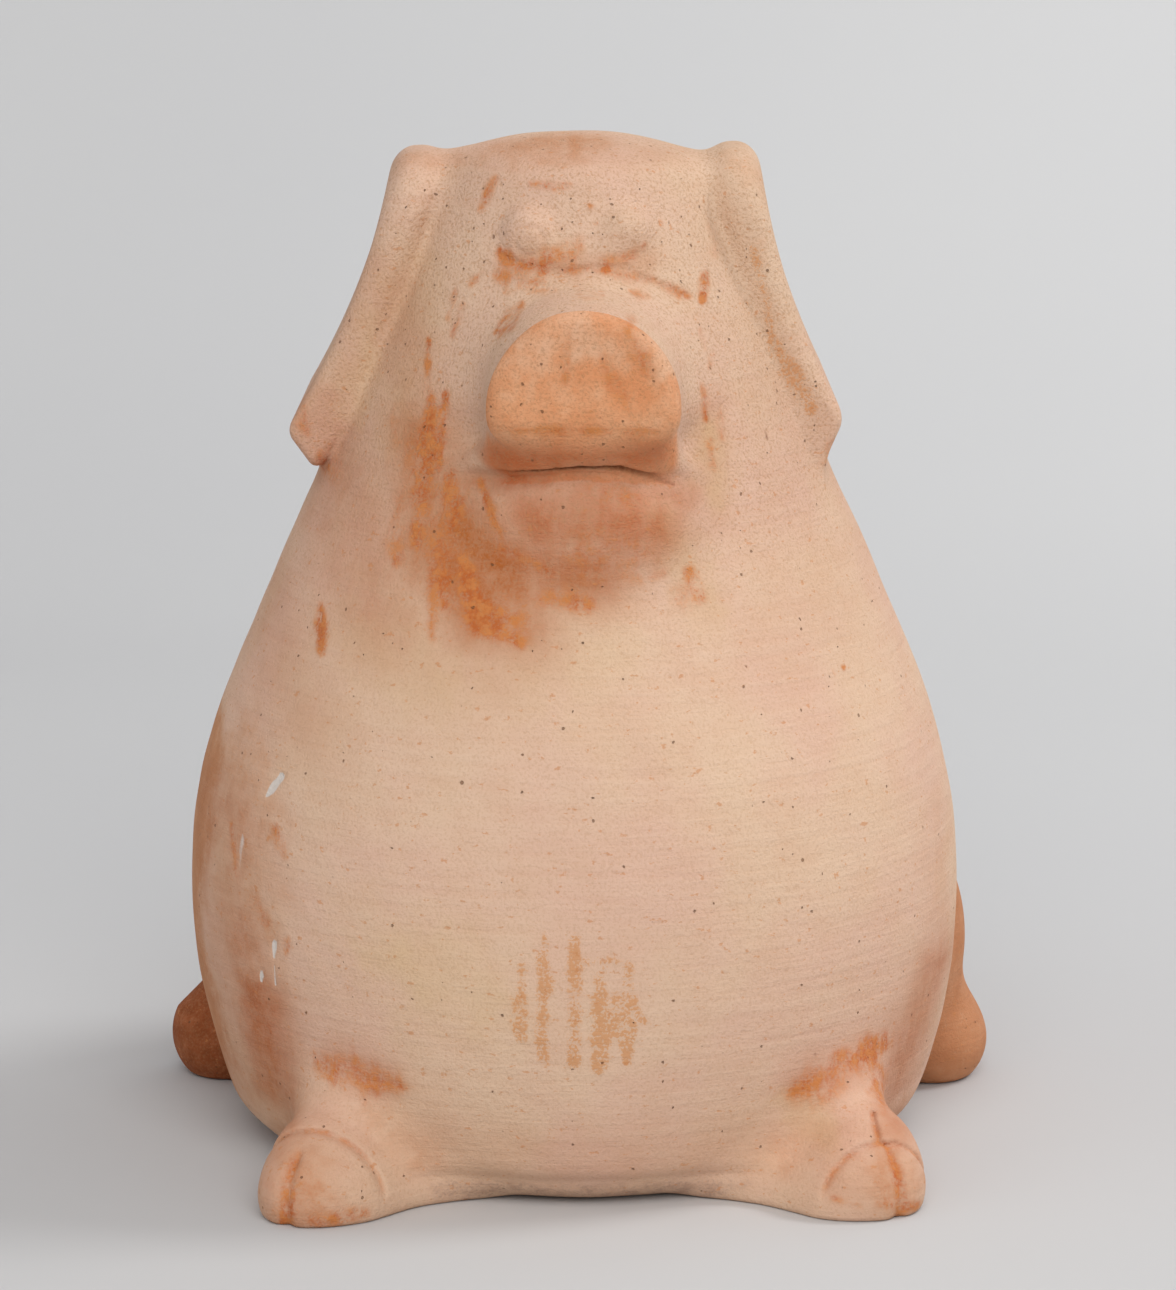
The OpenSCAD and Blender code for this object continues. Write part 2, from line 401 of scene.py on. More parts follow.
# Each lump: two corners of a box that holds it and its fillet, and its shape
LUMPS = {
    "ear_left": ((12, -26, 98), (62, 30, 182), lambda p: ear(p, "ear_left")),
    "ear_right": ((-62, -26, 98), (-12, 30, 182), lambda p: ear(p, "ear_right")),
    "muzzle": ((-32, -66, 104), (34, -8, 160), muzzle),
    "lower_jaw": ((-34, -66, 84), (36, -14, 138), lower_jaw),
    "eye_left": ((-4, -40, 142), (20, -8, 168), lambda p: ball(p, EYES["eye_left"], EYE_R)),
    "eye_right": ((-20, -40, 142), (4, -8, 168), lambda p: ball(p, EYES["eye_right"], EYE_R)),
    "front_foot_left": ((8, -82, -12), (76, -18, 42), lambda p: front_foot(p, "front_foot_left")),
    "front_foot_right": ((-72, -84, -12), (-4, -18, 42), lambda p: front_foot(p, "front_foot_right")),
    "rear_foot_left": ((30, -6, -12), (86, 62, 66), rear_foot_left),
    "rear_foot_right": ((-86, -2, -12), (-30, 62, 42), rear_foot_right),
    "tail": ((-16, 48, 34), (16, 80, 66), tail),
}


def lump(p, name):
    low, high, shape = LUMPS[name]
    return local(p, low, high, shape)


def skin(p):
    """Distance to the outside of the fired pig, all its luted pieces smoothed into one."""
    x, y, z = p[:, 0], p[:, 1], p[:, 2]
    waist = WAIST_DEEP * np.exp(-((z - WAIST_Z) / WAIST_WIDE) ** 2)
    d = revolved(p) + WOBBLE * hand_wobble(p) + waist
    d = d + pressed(z - GROOVE_Z, 1.3, 0.55) * (y < -40.0) * smooth(np.abs(x), 34.0, 26.0)
    for name in ("ear_left", "ear_right"):
        d = blend_min(d, lump(p, name), 3.0 + 4.0 * smooth(z, 154.0, 164.0))
    for name in ("eye_left", "eye_right", "lower_jaw"):
        d = blend_min(d, lump(p, name), FILLET[name])
    muzzle_fillet = 1.2 + 6.0 * smooth(z, 121.0, 129.0) * smooth(z, 151.0, 140.0)
    d = blend_min(d, lump(p, "muzzle"), muzzle_fillet + 0.8 * smooth(z, 140.0, 150.0))
    d = blend_max(d, -local(p, *MOUTH_BOX, mouth_groove), 0.9)
    for name in (*FRONT_FEET, "rear_foot_right", "rear_foot_left", "tail"):
        d = blend_min(d, lump(p, name), FILLET[name])
    for name in FRONT_FEET:
        low, high, _ = LUMPS[name]
        d = d + local(p, low, high, lambda q: hoof_marks(q, name), 0.0)
    d = d + local(p, *FACE_BOX, face_marks, 0.0)
    slot = length(np.maximum(np.abs(x) - SLOT_HALF + SLOT_R, 0.0), z - SLOT_Z) - SLOT_R
    d = blend_max(d, -np.maximum(slot, 20.0 - y), 1.6)
    return blend_max(d, -z, 0.8)


# ---------------------------------------------------------------- meshing
BLOCK = 8           # cells along each edge of a block that is worked out together
ON_AXIS = 1e-6      # a radius below this is on the axis


def gradient(field, p, step=0.15):
    """Central differences by four corners of a tetrahedron."""
    corners = np.array([(1, -1, -1), (-1, -1, 1), (-1, 1, -1), (1, 1, 1)], np.float32)
    total = np.zeros_like(p)
    for corner in corners:
        total += corner * field(p + corner * step)[:, None]
    return total / (4.0 * step)


def surface(field, low, high, cell):
    """Points and quads of field = 0. Only the blocks of cells near the surface are worked out."""
    low = np.array(low, np.float32)
    blocks = np.ceil((np.array(high) - low) / (cell * BLOCK)).astype(int)
    size = blocks * BLOCK
    corner = np.stack(np.meshgrid(*[np.arange(n) for n in blocks], indexing="ij"), -1).reshape(-1, 3)
    centres = (low + (corner * BLOCK + (BLOCK - 1) / 2) * cell).astype(np.float32)
    values = field(centres)
    grid = np.repeat(np.repeat(np.repeat(
        np.sign(values).reshape(blocks), BLOCK, 0), BLOCK, 1), BLOCK, 2).astype(np.float32) * 3.0 * cell
    reach = cell * BLOCK * 0.87 + 2.0 * cell
    near = corner[np.abs(values) < reach]
    step = np.stack(np.meshgrid(*[np.arange(BLOCK)] * 3, indexing="ij"), -1).reshape(-1, 3)
    index = (near[:, None, :] * BLOCK + step[None]).reshape(-1, 3)
    for part in np.array_split(index, max(1, len(index) // 400000)):
        grid[part[:, 0], part[:, 1], part[:, 2]] = field((low + part * cell).astype(np.float32))
    level = openvdb.FloatGrid(3.0 * cell)
    level.copyFromArray(np.clip(grid, -3.0 * cell, 3.0 * cell))
    points, quads = level.convertToQuads(isovalue=0.0)
    points = (low + points * cell).astype(np.float32)
    for _ in range(2):
        slope = gradient(field, points)
        steep = np.maximum((slope ** 2).sum(1), 0.25)
        move = -(field(points) / steep)[:, None] * slope
        points += np.clip(move, -0.6 * cell, 0.6 * cell)
    return points, quads


def mesh_object(name, points, faces):
    mesh = bpy.data.meshes.new(name)
    points = np.asarray(points, np.float32) * MM
    if isinstance(faces, np.ndarray):
        mesh.vertices.add(len(points))
        mesh.vertices.foreach_set("co", points.ravel())
        mesh.loops.add(faces.size)
        mesh.loops.foreach_set("vertex_index", faces.ravel().astype(np.int32))
        mesh.polygons.add(len(faces))
        mesh.polygons.foreach_set("loop_start", np.arange(0, faces.size, faces.shape[1], dtype=np.int32))
        mesh.update(calc_edges=True)
    else:
        mesh.from_pydata([tuple(p) for p in points], [], faces)
        mesh.update()
    mesh.validate()
    piece = bpy.data.objects.new(name, mesh)
    bpy.context.scene.collection.objects.link(piece)
    return piece


def lathe(name, outline, steps=128):
    """A closed solid of revolution from (radius, z) points that start and end on the axis or form a ring."""
    points, faces, rows = [], [], []
    for r, z in outline:
        if r < ON_AXIS:
            rows.append([len(points)])
            points.append((0.0, 0.0, z))
        else:
            rows.append(list(range(len(points), len(points) + steps)))
            for i in range(steps):
                a = 2.0 * math.pi * i / steps
                points.append((r * math.cos(a), r * math.sin(a), z))
    closed = outline[0][0] > ON_AXIS
    for a, b in zip(rows, rows[1:] + (rows[:1] if closed else [])):
        for i in range(steps):
            j = (i + 1) % steps
            corners = [a[i % len(a)], a[j % len(a)], b[j % len(b)], b[i % len(b)]]
            corners = list(dict.fromkeys(corners))
            if len(corners) > 2:
                faces.append(corners)
    return mesh_object(name, points, faces)


def cut(piece, tool, operation, name):
    """A new object: piece with tool taken away or kept, by an exact manifold boolean."""
    result = bpy.data.objects.new(name, piece.data)
    bpy.context.scene.collection.objects.link(result)
    modifier = result.modifiers.new("cut", "BOOLEAN")
    modifier.operation = operation
    modifier.solver = "MANIFOLD"
    modifier.object = tool
    bpy.context.view_layer.update()
    evaluated = result.evaluated_get(bpy.context.evaluated_depsgraph_get())
    mesh = bpy.data.meshes.new_from_object(evaluated)
    result.modifiers.clear()
    result.data = mesh
    mesh.name = name
    return result


def drop(*pieces):
    for piece in pieces:
        bpy.data.objects.remove(piece)


def block(name, low, high):
    points = [(x, y, z) for x in (low[0], high[0]) for y in (low[1], high[1]) for z in (low[2], high[2])]
    faces = [(0, 1, 3, 2), (4, 6, 7, 5), (0, 4, 5, 1), (2, 3, 7, 6), (0, 2, 6, 4), (1, 5, 7, 3)]
    return mesh_object(name, points, faces)


# ---------------------------------------------------------------- the pieces
PLATE_LOW, PLATE_HIGH = box_mm("base_plate")
SEAT_R = PLATE_HIGH[0]
PLATE_BOTTOM, PLATE_TOP = PLATE_LOW[2], PLATE_HIGH[2]
HOLE_R = 16.0
LUTE_DEPTH = 1.2    # how far a piece is let into the body
LUTE_MARGIN = 2.2   # how much of its fillet a piece takes along
EYE_MARGIN = 0.9
LUMP_CELL = 0.55


def arc_points(centre, radius, a0, a1, steps):
    return [
        (centre[0] + radius * math.cos(a0 + (a1 - a0) * i / steps),
         centre[1] + radius * math.sin(a0 + (a1 - a0) * i / steps))
        for i in range(steps + 1)
    ]


def cavity_outline():
    """The hollow: the body's section moved in by the wall, above the base plate."""
    side = SIDE_R - WALL
    start = math.asin((PLATE_TOP - BELLY_Z) / side)
    outline = [(0.0, PLATE_TOP)] + arc_points(BELLY_C, side, start, NECK_A, 26)
    outline += arc_points(SHOULDER_C, SHOULDER_R - WALL, NECK_A, SHOULDER_A, 5)
    outline += arc_points(CROWN_C, CROWN_R - WALL, SHOULDER_A, math.pi / 2, 8)[1:-1]
    return outline + [(0.0, HEIGHT - WALL)]


def lute_region(name):
    """Where a piece is luted on: its own lump and most of the fillet, let a little into the body."""
    margin = EYE_MARGIN if name.startswith("eye") else LUTE_MARGIN
    return lambda p: np.maximum(lump(p, name) - margin, -(revolved(p) + LUTE_DEPTH))


def skin_inside(low, high):
    """The skin, closed off 2 mm inside a box."""
    low, high = np.array(low, np.float32) + 2, np.array(high, np.float32) - 2
    return lambda p: np.maximum(skin(p), np.maximum(low - p, p - high).max(axis=1))


whole = mesh_object("whole_skin", *surface(skin, (-82, -78, -4), (84, 78, 178), FINE))
cavity = lathe("cavity", cavity_outline())
seat = lathe("seat", [(0.0, -5.0), (SEAT_R, -5.0), (SEAT_R, PLATE_TOP + 0.5), (0.0, PLATE_TOP + 0.5)])
hollow = cut(whole, cavity, "DIFFERENCE", "hollow_skin")
body = cut(hollow, seat, "DIFFERENCE", "seated_skin")
drop(whole, cavity, seat, hollow)

PIECES = {}
tools = []
for _name, (_low, _high, _) in LUMPS.items():
    tool = mesh_object("region", *surface(lute_region(_name), _low, _high, COARSE))
    detail = mesh_object("detail", *surface(skin_inside(_low, _high), _low, _high, LUMP_CELL))
    piece = cut(detail, tool, "INTERSECT", _name + "_clay")
    for earlier, (low, high) in tools:
        if np.all(np.array(low) < _high) and np.all(np.array(high) > _low):
            trimmed = cut(piece, earlier, "DIFFERENCE", _name + "_clay")
            drop(piece)
            piece = trimmed
            piece.name = _name + "_clay"
    PIECES[_name] = piece
    rest = cut(body, tool, "DIFFERENCE", "rest")
    drop(body, detail)
    tools.append((tool, (_low, _high)))
    body = rest
drop(*[tool for tool, _ in tools])

front_half = block("front_half", (-100, -100, -10), (100, 0, 200))
PIECES["shell_front"] = cut(body, front_half, "INTERSECT", "shell_front_clay")
PIECES["shell_back"] = cut(body, front_half, "DIFFERENCE", "shell_back_clay")
drop(body, front_half)


def rounded(corners, radius, steps=4):
    """A section with each of its corners rounded by a small arc."""
    points = []
    count = len(corners)
    for i, corner in enumerate(corners):
        c = np.array(corner, float)
        a, b = np.array(corners[i - 1], float) - c, np.array(corners[(i + 1) % count], float) - c
        if corner[0] < ON_AXIS:
            points.append(tuple(corner))
            continue
        a, b = a / np.linalg.norm(a), b / np.linalg.norm(b)
        half = math.acos(np.clip(a @ b, -1, 1)) / 2
        cut_back = radius / math.tan(half)
        for k in range(steps + 1):
            t = k / steps
            points.append(tuple(c + cut_back * ((1 - t) ** 2 * a + t ** 2 * b)))
    return points


plate_section = [
    (HOLE_R, PLATE_BOTTOM), (SEAT_R - 0.05, PLATE_BOTTOM), (SEAT_R - 0.05, PLATE_TOP), (HOLE_R, PLATE_TOP)
]
PIECES["base_plate"] = lathe("base_plate_clay", rounded(plate_section, 0.8))

STOP_LOW, STOP_HIGH = box_mm("stopper")
PLUG_R = HOLE_R - 0.05
FLANGE_TOP = STOP_LOW[2] + 2.4
GRIP_R, GRIP_DEPTH = 11.0, 1.0
stopper_section = [
    (0.0, STOP_LOW[2] + GRIP_DEPTH), (GRIP_R - 1.6, STOP_LOW[2] + GRIP_DEPTH), (GRIP_R, STOP_LOW[2]),
    (STOP_HIGH[0] - 0.3, STOP_LOW[2]), (STOP_HIGH[0], STOP_LOW[2] + 1.2), (STOP_HIGH[0], FLANGE_TOP),
    (PLUG_R, FLANGE_TOP), (PLUG_R, STOP_HIGH[2] - 1.0), (PLUG_R - 1.2, STOP_HIGH[2]),
    (PLUG_R - 2.5, STOP_HIGH[2]), (PLUG_R - 2.8, FLANGE_TOP + 0.4), (0.0, FLANGE_TOP + 0.4)
]
stopper = lathe("stopper_rubber", rounded(stopper_section, 0.35, 3))


# ---------------------------------------------------------------- wear and painted shade, painted by place
# Each mark is a soft stroke on the pig's front: from X, Z to X, Z, half-width and strength.
# The tint marks deepen the wash, partly as real tan staining and partly as painted shade under the snout,
# lip and chin and down both flanks; "stain" is rust, and "bare" is clay whose wash has gone
MARKS = {
    "tint_and_shade": [
        # the rubbed cheek beside the snout, down to the breast, with painted shade under the snout, lip and
        # chin and down both flanks
        (-20, 110, -10, 103, 7.5, 1), (-19, 104, -15, 99, 8.5, 1), (-24.5, 122, -23, 105, 8, 0.8),
        (-38, 115, -32, 97, 11, 0.46), (-10, 104, 3, 103.6, 6.6, 0.84), (-14, 97, -8, 96, 7, 0.66),
        (-18, 117, -5, 118.6, 3, 0.7), (6, 109.6, 13, 111, 6.2, 0.74), (14, 116, 18, 115, 3.5, 0.6),
        (-5, 112, 9, 112, 7, 0.8), (-14, 122.2, 13, 122.6, 2.6, 0.7), (-28, 91, -14, 90, 8, 0.24),
        (-54, 98, -44, 78, 8, 0.3), (-29, 142, -25, 122, 7, 0.36), (-11, 151, 0, 150.4, 2.2, 0.4),
        (0, 151, 12, 151, 2, 0.3), (22, 128, 22.5, 112, 4, 0.26), (17, 104, 20, 98, 5, 0.12),
        (-33, 150, -41, 124, 3.5, 0.24), (30, 130, 40, 96, 12, 0.12),
        # above the front feet, and the hooves
        (-47, 12, -42, 3, 9, 0.36), (-52, 30, -50, 15, 6, 0.85), (44, 8, 52, 6, 7, 0.34),
        (-39, 23, -31, 21.5, 4, 0.42), (38, 19.5, 49, 22, 4, 0.46), (-26, 10, 34, 9, 6, 0.2),
        (-58, 60, -54, 12, 7, 0.4), (60, 32, 53, 14, 5, 0.62), (-42, 127, -41, 115, 5, 0.36),
        # the bare right flank and its chips, crown and the left ear's ridge
        (-30, 168, 14, 168.5, 4.5, 0.16),
    ],
    "stain": [
        # the rubbed cheek beside the snout, down to the breast
        (-23, 118, -21, 100, 5.5, 0.36), (-16, 97, -8, 95.5, 3.6, 0.4),
        (-23.6, 129, -23.9, 117, 1.5, 0.85), (-21.2, 130, -22, 119, 1.1, 0.8),
        (-24.5, 122, -26, 107, 1.9, 0.8), (-19.8, 118, -20.6, 109, 2.2, 0.8),
        (-22, 110, -21.2, 98, 2.4, 0.8), (-18, 105, -17, 98, 1.7, 1), (-17, 97, -9, 93, 1.9, 0.9),
        (-23.5, 104, -22.8, 93, 1.4, 0.65), (-15.5, 99, -10, 96, 1.4, 0.85),
        (-28.5, 113, -29.3, 104, 2, 0.5), (-24, 138, -24.4, 129, 0.7, 0.8),
        (-18.4, 144, -20, 139, 0.8, 0.7), (-41.7, 95, -41.4, 88, 1.1, 0.8),
        (-27, 120, -27, 112, 4, 0.3),
        # brow, eyes and the fold under them
        (-7, 163.3, -1.2, 163.3, 0.9, 0.8), (-13, 164, -15.6, 159, 0.9, 0.7),
        (-12, 152.6, -9.4, 150.6, 1.2, 0.9), (-9.4, 150.6, -5, 150.2, 1.5, 0.95),
        (-5.5, 151, 0.2, 153.8, 2.2, 0.66), (-12, 148.4, -5, 148.2, 1.9, 0.55),
        (-2.4, 149.9, 1.5, 150.4, 0.8, 0.6), (2, 150.4, 6, 150.2, 0.8, 1),
        (6.5, 149.6, 13, 148.2, 1.3, 0.5), (13, 148, 18.6, 145.3, 1, 0.55),
        (4, 151.6, 9, 151.8, 1.5, 0.48), (9, 151.8, 11.4, 154, 1.1, 0.62),
        (21.5, 148.5, 21, 144.4, 0.9, 0.9), (20.6, 132, 21.3, 126, 0.8, 0.85),
        (22, 122.5, 22.5, 118, 0.9, 0.7), (22.5, 136, 22, 134, 0.7, 0.66),
        (18.5, 103, 20, 99, 1.5, 0.8), (16.5, 101, 18, 98, 1.7, 0.5),
        (2.5, 160.2, 2.7, 160.1, 0.7, 0.8), (-2.5, 156.5, -2.3, 156.3, 0.6, 0.8),
        (3.4, 157.6, 3.6, 157.4, 0.6, 0.7), (14, 157, 14.2, 156.8, 0.5, 0.8),
        (-15, 149.4, -17.2, 147, 0.8, 0.5), (-7, 147, -3, 147.3, 0.8, 0.45),
        (0.5, 147.3, 4.5, 147, 0.7, 0.4), (-11.5, 146.4, -9, 147, 0.8, 0.45),
        (9, 146.8, 12, 145.8, 0.7, 0.42), (-19.5, 146, -21, 141.5, 0.8, 0.5),
        (20.5, 140, 21.2, 137, 0.6, 0.5), (23.6, 127, 24, 123, 0.7, 0.5),
        (-30, 127, -29, 121, 1.2, 0.34), (22, 156, 23, 151, 1, 0.3),
        # snout's disc
        (8.5, 143.5, 12, 137, 1.8, 0.62), (-1, 143, -1.6, 135, 1, 0.5),
        (-12.8, 140.5, -8.6, 145.2, 0.9, 0.72), (-12, 127.6, 13, 127.4, 1, 0.5),
        (4, 140, 9, 130.5, 1.4, 0.34),
        # chin
        (-15.2, 117, -12, 109, 1, 0.72), (-12, 107.5, -4, 104, 1.6, 0.6), (0, 108, 10, 106, 5, 0.4),
        (-6, 100, 2, 99, 2, 0.5), (2, 117.5, 9, 115.5, 1.6, 0.42), (8, 103, 14, 103, 2, 0.36),
        # above the front feet, and the hooves
        (-41, 22.5, -30, 21, 3.4, 0.62), (-39, 22, -36, 22.6, 1.8, 0.8), (-33, 21.6, -28, 20.6, 1, 0.7),
        (36.5, 19, 45.5, 22, 3.6, 0.78), (45.5, 22, 49.5, 22.5, 3.4, 0.8), (50, 19, 50.5, 16, 2, 0.6),
        (-45.6, 6, -46.8, 0.5, 1.2, 0.75), (-42, 1.2, -34, 1.8, 1.7, 0.72), (41.5, 4, 46, 3, 1, 0.66),
        (50, 3, 55, 1.5, 1.6, 0.66),
        # small knocks
        (42.2, 85.2, 42.6, 84.6, 0.5, 1), (43.8, 85.6, 44.2, 85.2, 0.4, 0.9),
        # the bare right flank and its chips, crown and the left ear's ridge
        (-46.6, 42.6, -47.2, 40, 0.8, 0.75), (-57, 58, -56, 50, 0.8, 0.6),
        (-49, 60, -47.5, 56, 1.6, 0.55), (-52.5, 48, -51, 44, 2, 0.36),
        (-41.6, 117, -40.8, 114.5, 2.2, 0.62), (-45.8, 126, -44.6, 121, 1.5, 0.46),
        (-44, 131, -35, 150, 1, 0.3), (-37, 152, -33, 163, 1.6, 0.26), (28, 163, 31, 150, 2.2, 0.2),
        (42.8, 119.5, 41.8, 116, 1.6, 0.34),
    ],
    "chip": [
        # snout's disc
        (-6.8, 133.9, -6.7, 133.7, 0.25, 0.9),
        # the bare right flank and its chips, crown and the left ear's ridge
        (-50.6, 64.5, -48, 68.3, 0.7, 1), (-55.6, 50.5, -54.9, 57, 0.8, 0.5),
        (-49.2, 41.5, -49.4, 38.5, 0.5, 0.95), (-51.6, 35.4, -51.7, 34, 0.5, 0.85),
        (-49.3, 37.5, -49.2, 34, 0.3, 0.8),
    ],
    "bare": [
        # above the front feet, and the hooves
        (-44, 9, -46, 2, 7, 0.55), (50, 9, 51, 2, 7, 0.5), (-34, 17, -24, 8, 5, 0.38),
        (38, 12, 30, 7, 4, 0.34),
        # the bare right flank and its chips, crown and the left ear's ridge
        (-52, 72, -54, 30, 7, 0.5), (60, 60, 62, 30, 4, 0.3), (-16, 170, 4, 171, 4.5, 0.7),
        (-29, 167, -20, 166, 3, 0.5), (-45, 128, -47, 119, 2.5, 0.45), (24, 168, 32, 160, 3, 0.34),
    ],
    "dirt_and_shade": [
        # small knocks
        (27.4, 88.1, 27.8, 88.1, 0.3, 0.9), (31.2, 122.8, 31.6, 121.8, 0.3, 0.95),
        (39, 24.4, 39.5, 24.6, 0.4, 0.9), (13.4, 159.4, 13.5, 159.3, 0.35, 0.9),
    ],
    "scuff": [
        # the comb of scuffs low on the belly
        (-8.5, 43, -9, 31, 1.5, 0.95), (-4.9, 48, -5.2, 27, 1.4, 1), (0, 48, -0.2, 27, 1.5, 1),
        (4.2, 42, 4, 26, 1.7, 1.1), (8.6, 43, 8.4, 27, 1.4, 0.95), (0, 43.8, 6.5, 43.4, 1.9, 0.7),
        (2, 38, 9, 37, 1.2, 0.62), (6.4, 38, 6, 32, 1.5, 0.8), (8.6, 36, 12, 33, 1.1, 0.7),
        # the bare right flank and its chips, crown and the left ear's ridge
        (29.5, 152, 33, 136, 1.4, 0.62), (33, 136, 39.5, 125, 1.8, 0.85),
    ],
    "yellow": [
        # yellowed wash
        (-32, 43, -14, 37, 9, 0.85), (-33.5, 140, -37, 124, 4, 0.75), (21.5, 125, 23.5, 114, 3.5, 0.95),
        (-27, 150, -29, 122, 6, 0.55), (-34, 92, -22, 86, 8, 0.7), (-14, 88, 8, 90, 7, 0.5),
        (34, 18, 40, 12, 4, 0.65), (14, 112, 22, 96, 4, 0.6),
    ],
}


def lattice(a, b, cell):
    """Smooth random values from -1 to 1 over a plane, one drawn for each corner of a grid of cells."""
    def corner(i, j):
        wave = np.sin(i * 12.9898 + j * 78.233 + cell) * 4375.8545
        return 2.0 * (wave - np.floor(wave)) - 1.0

    a, b = a.astype(np.float64) / cell, b.astype(np.float64) / cell
    i, j = np.floor(a), np.floor(b)
    s, t = smooth(a - i, 0.0, 1.0), smooth(b - j, 0.0, 1.0)
    low = corner(i, j) * (1.0 - s) + corner(i + 1.0, j) * s
    return low * (1.0 - t) + (corner(i, j + 1.0) * (1.0 - s) + corner(i + 1.0, j + 1.0) * s) * t


# Three masks of wear and painted shade to each colour attribute
WEAR_AND_SHADE = {
    "wear_a": ("bare", "stain", "yellow"),
    "wear_and_shade_b": ("dirt_and_shade", "chip", "flush"),
    "wear_and_shade_c": ("scuff", "rim", "tint_and_shade"),
}


def strokes(p, kind):
    """The marks of one kind: soft strokes with ragged edges that thin out towards their ends."""
    x, z = p[:, 0], p[:, 2]
    ragged = 0.5 * lattice(x, z, 1.7) + 0.4 * lattice(x, 0.6 * z, 4.1)
    faded = 0.9 + 0.3 * lattice(x, 0.5 * z, 3.1)
    total = np.zeros(len(p))
    for x0, z0, x1, z1, wide, strong in MARKS[kind]:
        dx, dz = x1 - x0, z1 - z0
        t = np.clip(((x - x0) * dx + (z - z0) * dz) / (dx * dx + dz * dz), 0.0, 1.0)
        reach = length(x - x0 - t * dx, z - z0 - t * dz) / wide
        thin = 1.0 + 0.5 * (2.0 * t - 1.0) ** 2
        if kind == "tint_and_shade":
            mark = strong * np.exp(-(reach ** 2))
        else:
            mark = strong * faded * np.exp(-(np.maximum(reach * thin + 0.75 * ragged, 0.0) ** 2))
        total = np.maximum(total, mark)
    return total * smooth(p[:, 1], 4.0, -9.0)


def wear_and_shade(p):
    """How worn the clay is, and how much shade is painted on it, at each point in each of the ways of the
    mask table, from 0 to 1.
    """
    x, y, z = p[:, 0], p[:, 1], p[:, 2]
    # The wash ends raggedly round the sides, and further forward on the right flank
    wash_edge = 8.0 + 14.0 * smooth(z, 80.0, 130.0)
    wash_edge = wash_edge + 4.0 * lattice(x + y, z, 9.0) + 2.0 * lattice(x + y, z, 3.0)
    wash_edge -= 36.0 * smooth(x, 0.0, -40.0) * smooth(z, 88.0, 64.0)
    bare = smooth(y - wash_edge, 0.0, 16.0) * (0.55 + 0.45 * smooth(z, 120.0, 60.0))
    bare = np.maximum(bare, strokes(p, "bare"))
    for name in ("rear_foot_left", "rear_foot_right", "tail"):
        bare = np.maximum(bare, smooth(lump(p, name), 3.0, 0.0))
    inside = smooth(revolved(p), -1.0, -3.0)
    bare = np.maximum(bare, inside)
    stain = strokes(p, "stain")
    dirt_and_shade = strokes(p, "dirt_and_shade")
    for name in FRONT_FEET:
        low, high, _ = LUMPS[name]
        stain = np.maximum(stain, 0.6 * local(p, low, high, lambda q: hoof_marks(q, name), 0.0))
    # Painted shade: the mouth's groove is darkened with the dirt colour, most in its middle
    gap = smooth(local(p, *MOUTH_BOX, mouth_groove), 0.9, -0.2)
    dirt_and_shade = np.maximum(dirt_and_shade, gap * (0.35 + 0.5 * smooth(np.abs(x - 2.0), 15.0, 6.0)))
    # Painted shade, with some darker clay: the right rear foot, in the body's shadow, is darkened with the
    # dirt colour
    dirt_and_shade = np.maximum(dirt_and_shade, 0.5 * smooth(lump(p, "rear_foot_right"), 2.0, 0.0))
    rim = 0.5 * smooth(z, 5.5, 3.5) * smooth(revolved(p), 6.0, 2.0)
    snout = lump(p, "muzzle") < 1.5
    flush = (0.95 - 0.22 * smooth(z, 131.0, 141.0)) * smooth(y, SNOUT_Y + 7.5, SNOUT_Y + 3.5) * snout
    flush = np.maximum(flush, 0.75 * smooth(z, 128.0, 124.0) * smooth(y, -40.0, -44.0) * snout)
    flush = np.maximum(flush, 0.4 * smooth(lump(p, "lower_jaw"), 4.0, -1.5) * smooth(y, -38.0, -46.0))
    # Tint, partly real tan staining and partly painted shade: strong on the right rear foot, which sits in
    # the body's shadow, light on the left one
    tint_and_shade = np.maximum(strokes(p, "tint_and_shade"), 0.9 * smooth(lump(p, "rear_foot_right"), 4.0, 0.0))
    tint_and_shade = np.maximum(tint_and_shade, 0.3 * smooth(lump(p, "rear_foot_left"), 4.0, 0.0))
    masks = {"bare": bare, "stain": stain, "dirt_and_shade": dirt_and_shade, "flush": flush, "rim": rim, "tint_and_shade": tint_and_shade}
    for kind in ("yellow", "chip", "scuff"):
        masks[kind] = strokes(p, kind)
    return masks


ON_SKIN = 0.12      # a vertex this near a modelled surface takes its normal from it


